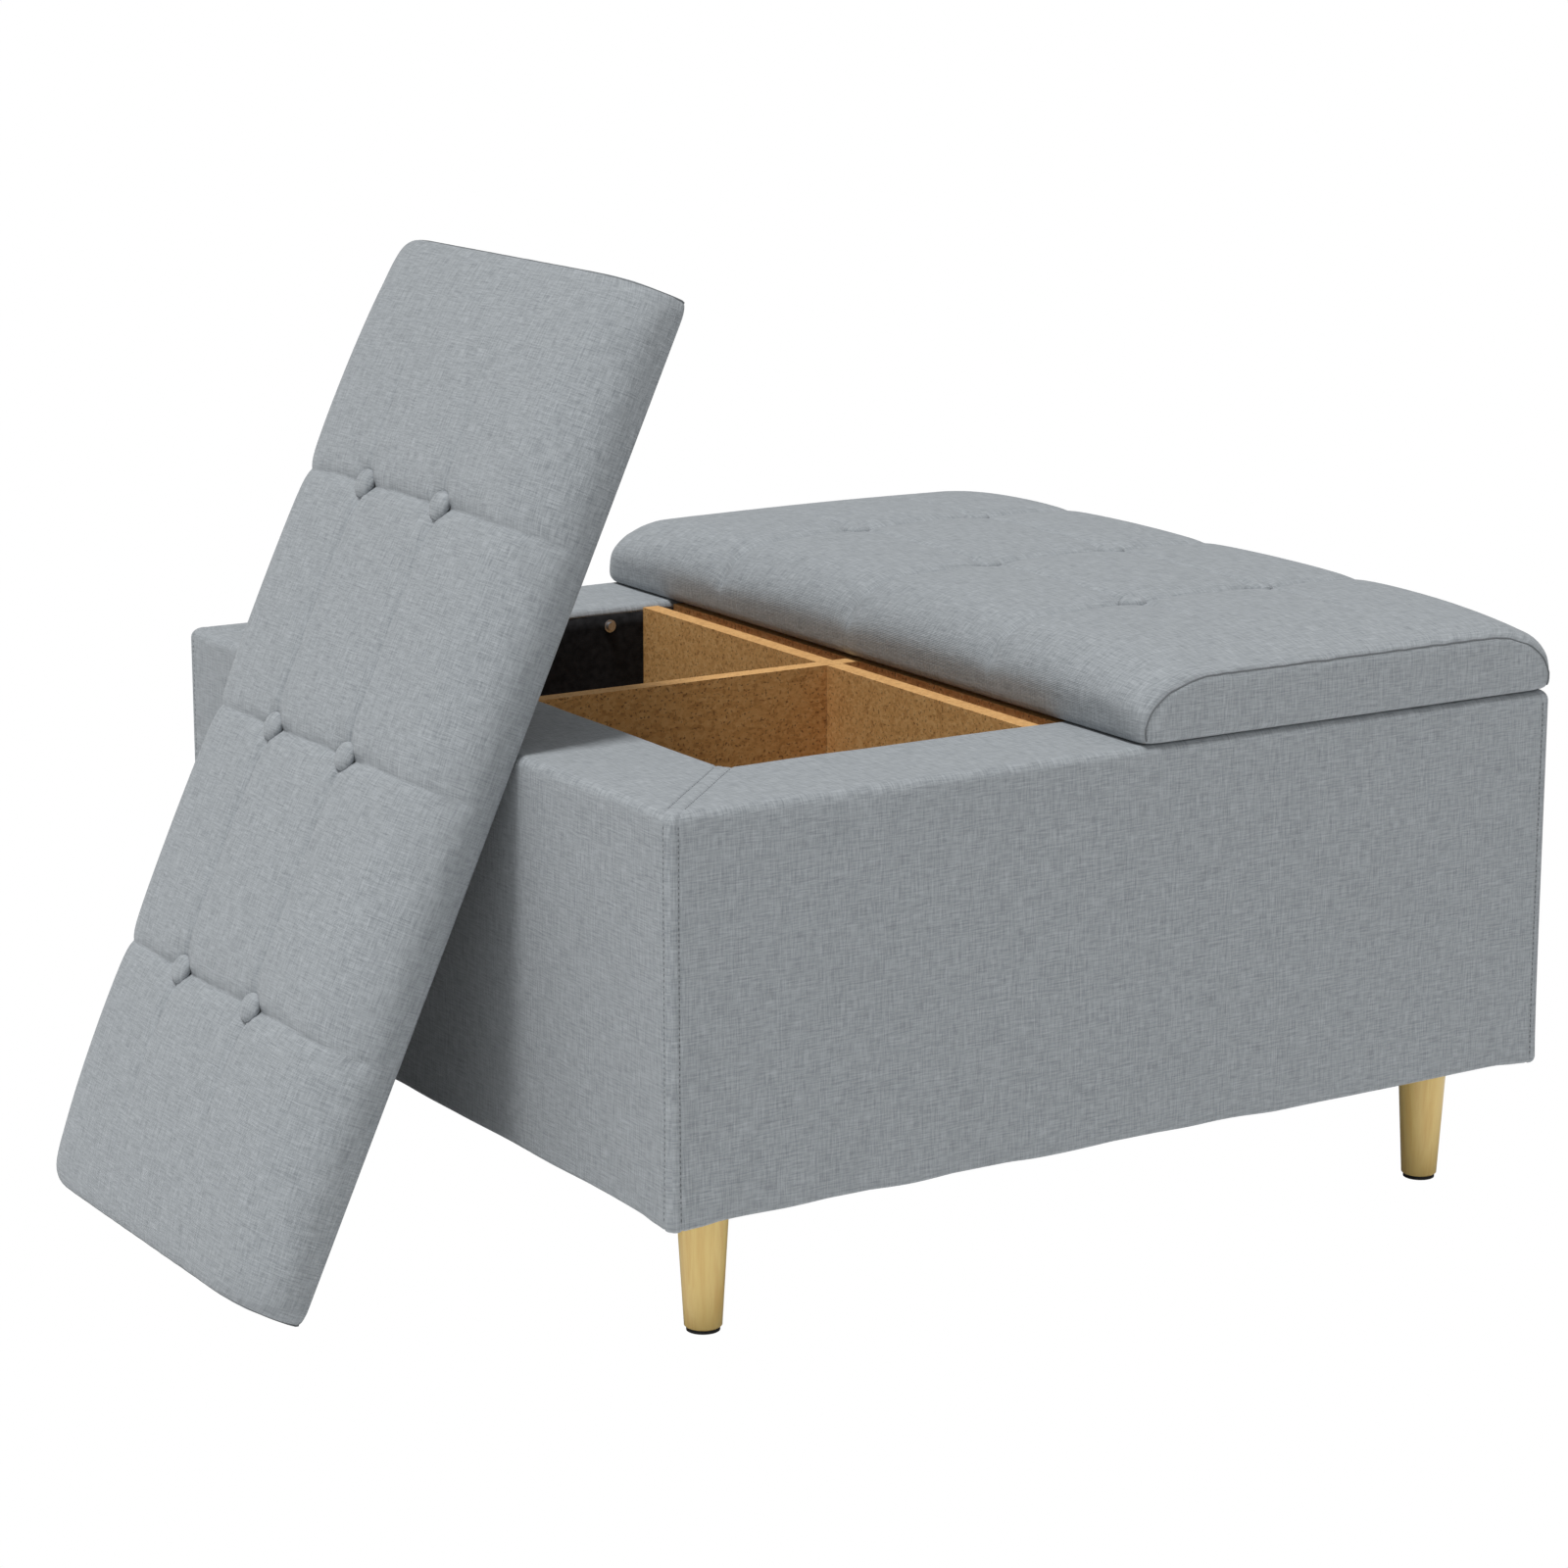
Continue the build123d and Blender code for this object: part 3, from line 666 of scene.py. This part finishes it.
def crown(x, y):
    """Height of the plain top: flat at the end seams, fullest in the middle."""
    flat_half = LID_WIDTH / 2 - LID_SHOULDER
    end_fade = 1.0 - (abs(y) / (LID_LENGTH / 2)) ** 6
    fullness = LID_CROWN - LID_SIDE_HEIGHT - 4.0 * min(1.0, abs(x) / flat_half) ** 2
    top = LID_SIDE_HEIGHT + fullness * end_fade
    over = max(0.0, abs(x) - flat_half) / LID_SHOULDER
    return LID_WIDEST + (top - LID_WIDEST) * math.sqrt(max(0.0, 1 - over**2))


def crease(distance, sharp=6.0, wide=34.0):
    """Cross-section of a sewn channel: 1 at its line, a sharp fold in a wide valley."""
    return 0.55 * math.exp(-abs(distance) / sharp) + 0.45 * math.exp(-abs(distance) / wide)


def tuft(x, y, seed):
    """How deep the channels and buttons draw the top in."""
    wander = 1.2 * soft_noise(x / 45, y / 45, seed)
    depth_across = 8.5 - 3.0 * smooth_step(55, 190, abs(x))
    across = max(crease(y - line - wander) * depth_across for line in CHANNELS_ACROSS)
    fade = 1.0 - smooth_step(190.0, 385.0, abs(y))
    along = max(crease(x - line - wander, 3.5, 24.0) for line in CHANNELS_ALONG) * 4.8 * fade
    depth = max(across, along) + 0.35 * min(across, along)
    for bx, by in BUTTONS:
        r = math.hypot(x - bx, y - by)
        if r < 60:
            angle = math.atan2(y - by, x - bx)
            depth += 3.5 * math.exp(-((r / 18.0) ** 2.2))
            folds = math.cos(5 * angle + bx + seed) + 0.6 * math.cos(8 * angle + by)
            depth += 0.7 * folds * math.exp(-(((r - 19.0) / 9.0) ** 2))
    depth += 0.5 * math.exp((abs(y) - LID_LENGTH / 2) / 11.0) * soft_noise(x / 11, y / 60, seed)
    return depth


def end_reach(y, z):
    """Y of a ring's point, drawn in a little along the lid's rounded lower edge."""
    near = 12.0
    over = max(0.0, abs(y) - (LID_LENGTH / 2 - near))
    return math.copysign(abs(y) - over * edge_inset(z) / near, y)


def corner_inset(y):
    """Extra rounding of the pad's upper corners, seen from above."""
    over = max(0.0, abs(y) - (LID_LENGTH / 2 - LID_CORNER))
    return 0.45 * round_off(LID_CORNER, over)


def lid_shape(seed):
    """The lid's upholstery and its end seams, lying along Y with the underside at z = 0."""
    columns, stations, side = lid_columns(), lid_stations(), lid_side()
    half_width = LID_WIDTH / 2
    left = [(-x, z) for x, z in reversed(side)]
    section = left + [(x, None) for x in columns[1:-1]] + side
    sides, tops = len(side) - 1, len(columns) - 1
    surface = Surface()

    def ring_points(y, inset, drop, groove):
        points = []
        for x, z in section:
            if z is None:
                z = crown(x, y)
            pull = tuft(x, y, seed) * smooth_step(14.0, 42.0, z)
            if abs(x) >= side[0][0] - 1e-6:
                out = LID_BULGE * math.sin(math.pi * z / 55.0) - 0.55 * pull
                x += math.copysign(out, x)
            z -= pull
            pinch = groove * smooth_step(10.0, 24.0, z)
            rounding = inset + pinch + corner_inset(y) * smooth_step(10.0, 42.0, z)
            z *= 1 - (drop + pinch) / LID_SIDE_HEIGHT
            points.append((x * (1 - rounding / half_width), end_reach(y, z), z))
        return points

    rings = []
    for y in stations:
        to_end = LID_LENGTH / 2
        inset = round_off(LID_PLAN_RADIUS, max(0.0, abs(y) - (to_end - LID_PLAN_RADIUS)))
        drop = round_off(LID_END_RADIUS, max(0.0, abs(y) - (to_end - LID_END_RADIUS)))
        groove = 1.7 if abs(y) == LID_SEAM else 0.0
        rings.append(ring_points(y, inset * 0.5, drop * 0.45, groove))
    starts = [surface.add_points(points) for points in rings]
    lengths = [0.0]
    middle = rings[len(rings) // 2]
    for before, after in zip(middle, middle[1:]):
        lengths.append(lengths[-1] + math.dist(before, after))
    for j in range(len(rings) - 1):
        for s in range(len(section) - 1):
            corners = (starts[j] + s, starts[j] + s + 1, starts[j + 1] + s + 1, starts[j + 1] + s)
            y0, y1, u0, u1 = stations[j], stations[j + 1], lengths[s], lengths[s + 1]
            surface.add_face(corners, [(u0, y0), (u1, y0), (u1, y1), (u0, y1)])
    near = lid_end_panel(surface, rings[0], starts[0], sides, tops, -1)
    far = lid_end_panel(surface, rings[-1], starts[-1], sides, tops, 1)
    last = len(section) - 1
    loop = starts + far[1:-1] + [start + last for start in reversed(starts)] + near[-2:0:-1]
    lid_underside(surface, loop)
    # A thin cord along each end seam; its dark thread material is painted shade for the seam's groove.
    seam = Surface()
    for ring in (rings[0], rings[-1]):
        add_cord(seam, ring[3:-3], CORD_RADIUS)
    return surface, seam


def lid_end_panel(surface, outline, start, sides, tops, sign):
    """An end panel that stands a little proud inside its seam; returns its bottom row."""
    points = np.array(outline)
    left = points[: sides + 1]
    top = points[sides : sides + tops + 1]
    right = points[sides + tops :][::-1]
    u = np.array([(p[0] - top[0][0]) / (top[-1][0] - top[0][0]) for p in top])
    v = np.array([(p[2] - left[0][2]) / (left[-1][2] - left[0][2]) for p in left])
    bottom = np.outer(1 - u, left[0]) + np.outer(u, right[0])
    index = {}
    for k in range(sides + 1):
        for i in range(tops + 1):
            if k == sides:
                index[k, i] = start + sides + i
            elif i == 0:
                index[k, i] = start + k
            elif i == tops:
                index[k, i] = start + 2 * sides + tops - k
            else:
                edges = (1 - v[k]) * bottom[i] + v[k] * top[i]
                edges = edges + (1 - u[i]) * left[k] + u[i] * right[k]
                corner = (1 - u[i]) * ((1 - v[k]) * left[0] + v[k] * top[0])
                corner = corner + u[i] * ((1 - v[k]) * right[0] + v[k] * top[-1])
                x, y, z = edges - corner
                inside = min(u[i], 1 - u[i]) * 380, (1 - v[k]) * LID_SIDE_HEIGHT
                proud = 1.7 * (1 - math.exp(-min(inside) / 1.6))
                index[k, i] = surface.add_points([(x, y + sign * proud, z)])
    for k in range(sides):
        for i in range(tops):
            corners = [index[k, i], index[k, i + 1], index[k + 1, i + 1], index[k + 1, i]]
            uvs = [(surface.points[c][0], surface.points[c][2] + 900 * sign) for c in corners]
            if sign > 0:
                corners.reverse()
                uvs.reverse()
            surface.add_face(corners, uvs)
    return [index[0, i] for i in range(tops + 1)]


def lid_underside(surface, loop):
    """The cover turned under all round, and the plain bottom behind the black cloth."""
    outer = [surface.points[i] for i in loop]
    rings = [loop]
    half_x, half_y = 193.0, 399.0  # about the half sizes inside the rounded lower edge
    for inset, z in ((2.0, 0.0), (8.0, 0.0), (24.5, 0.0), (25.0, 0.95)):
        shrink_x, shrink_y = 1 - inset / half_x, 1 - inset / half_y
        points = [(x * shrink_x, y * shrink_y, z) for x, y, _ in outer]
        start = surface.add_points(points)
        rings.append([start + i for i in range(len(points))])
    for ring, inner in zip(rings, rings[1:]):
        for i in range(len(ring)):
            after = (i + 1) % len(ring)
            corners = (ring[i], ring[after], inner[after], inner[i])
            surface.add_face(corners, [surface.points[c][:2] for c in corners])
    surface.add_face(rings[-1], [surface.points[c][:2] for c in rings[-1]])


def button_shape():
    """Covered buttons: a domed cap whose cloth is gathered under its edge."""
    surface = Surface()
    around = 36
    rows = []
    for angle in evenly(90.0, -40.0, 11.0)[1:]:
        a = math.radians(angle)
        radius = BUTTON_RADIUS * math.cos(a) ** 0.75
        z = BUTTON_WIDEST + (BUTTON_HEIGHT - BUTTON_WIDEST) * math.sin(a)
        rows.append((radius, z, max(0.0, -math.sin(a))))
    for x, y in BUTTONS:
        top = surface.add_points([(x, y, BUTTON_SEAT + BUTTON_HEIGHT)])
        starts = []
        for radius, z, gather in rows:
            ring = []
            for k in range(around):
                angle = math.tau * k / around
                reach = radius * (1 + 0.02 * gather * math.cos(12 * angle))
                across, along = x + reach * math.cos(angle), y + reach * math.sin(angle)
                ring.append((across, along, BUTTON_SEAT + z))
            starts.append(surface.add_points(ring))
        for k in range(around):
            after = (k + 1) % around
            corners = (top, starts[0] + k, starts[0] + after)
            surface.add_face(corners, [surface.points[c][:2] for c in corners])
            for upper, lower in zip(starts, starts[1:]):
                corners = (upper + k, lower + k, lower + after, upper + after)
                surface.add_face(corners, [surface.points[c][:2] for c in corners])
        base = tuple(starts[-1] + k for k in reversed(range(around)))
        surface.add_face(base, [surface.points[c][:2] for c in base])
    return surface


# ---- thin black cloths ----
def loop_faces(surface, lower, upper):
    """Joins two closed rings of vertices with a band of faces."""
    for k in range(len(lower)):
        after = (k + 1) % len(lower)
        corners = (lower[k], lower[after], upper[after], upper[k])
        surface.add_face(corners, [surface.points[c][:2] for c in corners])


def slack_cloth(width, length, sag, seed):
    """A cloth tacked down round its edge, a little slack between, its centre at the origin."""
    surface = Surface()
    xs = evenly(-width / 2, width / 2, 12.0)
    ys = evenly(-length / 2, length / 2, 12.0)
    loops = []
    for layer in (0, 1):
        points = []
        for y in ys:
            for x in xs:
                edge = min(width / 2 - abs(x), length / 2 - abs(y))
                uneven = 0.6 + 0.4 * soft_noise(x / 90, y / 90, seed)
                slack = smooth_step(60.0, 150.0, edge) * uneven
                points.append((x, y, layer * CLOTH_THICKNESS - sag * slack))
        start = surface.add_points(points)
        index = np.arange(start, start + len(points)).reshape(len(ys), len(xs))
        for block in range((len(ys) - 1) * (len(xs) - 1)):
            j, i = divmod(block, len(xs) - 1)
            corners = [index[j, i], index[j, i + 1], index[j + 1, i + 1], index[j + 1, i]]
            corners = [int(c) for c in corners[:: 1 if layer else -1]]
            surface.add_face(corners, [surface.points[c][:2] for c in corners])
        edge = [*index[0, :-1], *index[:-1, -1], *index[-1, :0:-1], *index[:0:-1, 0]]
        loops.append([int(c) for c in edge])
    loop_faces(surface, *loops)
    return surface


def lining_shell():
    """The cavity's lining: floor and four walls in one thin cloth, loose between the boards."""
    surface = Surface()
    bottom = LINING_LOW.z + LINING
    floor = [(half, bottom, 0.0) for half in evenly(15.0, CAVITY - 1.0, 17.0)]
    walls = []
    for z in evenly(LINING_LOW.z + 2.0, LINING_HIGH.z, 11.0):
        loose = smooth_step(0, 40, z - LINING_LOW.z) * smooth_step(0, 30, LINING_HIGH.z - z)
        walls.append((CAVITY - 0.9, z, loose))
    layers = []
    for offset in (0.0, CLOTH_THICKNESS):
        rings = []
        for half, z, loose in floor + walls:
            points = []
            for side in range(4):
                for share in evenly(0.0, 1.0, 1 / 40)[:-1]:
                    along = half * (2 * share - 1)
                    clear = smooth_step(26.0, 60.0, abs(along))
                    clear *= smooth_step(4.0, 60.0, half - abs(along))
                    ripple = max(0.0, 0.35 + soft_noise(along / 55, z / 120, side))
                    wave = 2.2 * loose * clear * ripple
                    out = half - wave + offset * (z > bottom)
                    points.append((*quarter_turns(along, -out, side), z - offset * (z <= bottom)))
            start = surface.add_points(points)
            rings.append(list(range(start, start + len(points))))
        layers.append(rings)
    inner, outer = layers
    for rings, turn in ((inner, 1), (outer, -1)):
        for lower, upper in zip(rings, rings[1:]):
            loop_faces(surface, *((lower, upper)[::turn]))
        cap = rings[0][::-turn]
        surface.add_face(cap, [surface.points[c][:2] for c in cap])
    loop_faces(surface, inner[-1], outer[-1])
    return surface


def make_cloths(places):
    """The black cloths under the lids, under the box and in the cavity."""
    low, high = node_box("seated_lid_underside_cloth")
    width, length = high.x - low.x, high.y - low.y
    raised = Matrix.Translation((0, 0, 0.2 * MM))
    for number, (body, matrix) in enumerate(places.items()):
        cloth = slack_cloth(width, length, 1.2, 5.0 + number)
        piece = cloth.piece(f"{body}_black_cloth", BLACK_CLOTH, matrix @ raised)
        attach(piece, body)
        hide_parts(f"{body}_underside_cloth")
    low, high = node_box("dust_cover")
    width = high.x - low.x
    matrix = Matrix.Translation((BOX_X * MM, 0, (low.z + 0.1) * MM))
    dust = slack_cloth(width, width, 2.5, 9.0).piece("black_dust_cover", BLACK_CLOTH, matrix)
    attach(dust, "base")
    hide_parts("dust_cover")
    centred = Matrix.Translation((BOX_X * MM, 0, 0))
    lining = lining_shell().piece("black_lining", BLACK_CLOTH, centred)
    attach(lining, "base")
    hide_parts("cavity_lining")


def lid_places():
    """Body name and matrix of each lid, from lying at the origin to where it stands."""
    low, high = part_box("seated_lid_board")
    seated = Matrix.Translation(((low.x + high.x) / 2, 0, RIM * MM + LID_GAP * MM))
    pivot = Vector(JOINTS["leaning_lid_tip"]["pos_m"])
    edge = pivot.z  # the joint's axis is this far inside the lid's lower edge, both ways
    leaning = (
        Matrix.Translation(pivot)
        @ Matrix.Rotation(math.radians(-LEAN_ANGLE), 4, "Y")
        @ Matrix.Translation((LID_LENGTH / 2 * MM - edge, 0, -edge))
        @ Matrix.Rotation(math.radians(-90), 4, "Z")
    )
    return {"seated_lid": seated, "leaning_lid": leaning}


def make_lid(body, matrix, seed):
    """One lid's cover, end seams and buttons."""
    shape, seam = lid_shape(seed)
    cover = shape.piece(f"{body}_upholstery", LINEN, matrix)
    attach(cover, body)
    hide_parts(f"{body}_cover", f"{body}_pad")
    # The end seam cords are dark as painted shade for the groove where each end panel is sewn on.
    painted_shade_seam = seam.piece(f"{body}_end_seams_painted_shade", THREAD_PAINTED_SHADE, matrix)
    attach(painted_shade_seam, body)
    buttons = button_shape().piece(f"{body}_covered_buttons", LINEN, matrix)
    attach(buttons, body)
    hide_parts(f"{body}_buttons")


def make_box():
    """The box's cover and its top-stitching."""
    cover = box_upholstery()
    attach(cover, "base")
    sides, layers = ("front", "right", "back", "left"), ("wall", "rim")
    foams = [f"{side}_{layer}_foam" for side in sides for layer in layers]
    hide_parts("box_cover", *foams)
    stitching = box_stitching()
    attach(stitching, "base")


# ---- stage ----
def make_floor():
    """A pale floor that the camera sees as plain white, and that is clear from below."""
    surface = Surface()
    reach = 12000.0
    surface.add_points((x * reach, y * reach, 0) for x, y in ((-1, -1), (1, -1), (1, 1), (-1, 1)))
    surface.add_face((0, 1, 2, 3), [(0, 0), (1, 0), (1, 1), (0, 1)])
    paint = Paint("floor", 0.9)
    cloudy = paint.noise(paint.place("Object"), detail=2, scale=0.6)
    stops = [(0.3, rgb(0.93, 0.93, 0.93)), (0.7, rgb(0.95, 0.95, 0.95))]
    white = paint.finish(paint.ramp(cloudy, stops))
    seen = paint.add("LightPath", {}).outputs["Is Camera Ray"]
    glow = paint.add("Emission", {"Color": rgb(1.0, 1.0, 1.0), "Strength": 1.0})
    lit = paint.add("MixShader", {0: seen, 1: paint.surface.outputs[0], 2: glow.outputs[0]})
    below = paint.add("NewGeometry", {}).outputs["Backfacing"]
    clear = paint.add("BsdfTransparent", {"Color": rgb(1.0, 1.0, 1.0)})
    mixed = paint.add("MixShader", {0: below, 1: lit.outputs[0], 2: clear.outputs[0]})
    paint.feed(paint.tree.nodes["Material Output"], {"Surface": mixed.outputs[0]})
    floor = surface.piece("floor", white)
    floor.location.z = -0.5 * MM  # just clear of the feet


def make_light():
    """An even surround, dim but seen white by the camera, and a soft sun from high on the left."""
    world = bpy.data.worlds.new("room")
    bpy.context.scene.world = world
    world.use_nodes = True
    nodes, links = world.node_tree.nodes, world.node_tree.links
    background = nodes["Background"]
    background.inputs["Color"].default_value = rgb(1.0, 1.0, 1.0)
    path = nodes.new("ShaderNodeLightPath")
    strength = nodes.new("ShaderNodeMapRange")
    strength.inputs["To Min"].default_value = 0.36
    strength.inputs["To Max"].default_value = 1.0
    links.new(path.outputs["Is Camera Ray"], strength.inputs["Value"])
    links.new(strength.outputs[0], background.inputs["Strength"])
    sun = bpy.data.lights.new("key", "SUN")
    sun.energy = 2.3
    sun.angle = math.radians(14)
    key = bpy.data.objects.new("key", sun)
    bpy.context.scene.collection.objects.link(key)
    key.rotation_euler = Vector((-0.27, -0.07, 0.96)).to_track_quat("Z", "Y").to_euler()


def make_camera():
    """A long lens, high and to the front left of the box."""
    data = bpy.data.cameras.new("camera")
    data.lens = 97.9
    camera = bpy.data.objects.new("camera", data)
    bpy.context.scene.collection.objects.link(camera)
    camera.location = (BOX_X * MM - 1.830, -2.857, 1.085)
    camera.rotation_euler = (math.radians(76.96), 0.0, math.radians(-31.8))
    bpy.context.scene.camera = camera


make_camera()
make_light()
make_floor()
finish_cad_nodes()
make_box()
PLACES = lid_places()
for number, (body, matrix) in enumerate(PLACES.items()):
    make_lid(body, matrix, seed=3.0 + 10.0 * number)
make_cloths(PLACES)

bpy.context.scene.view_settings.view_transform = "Standard"
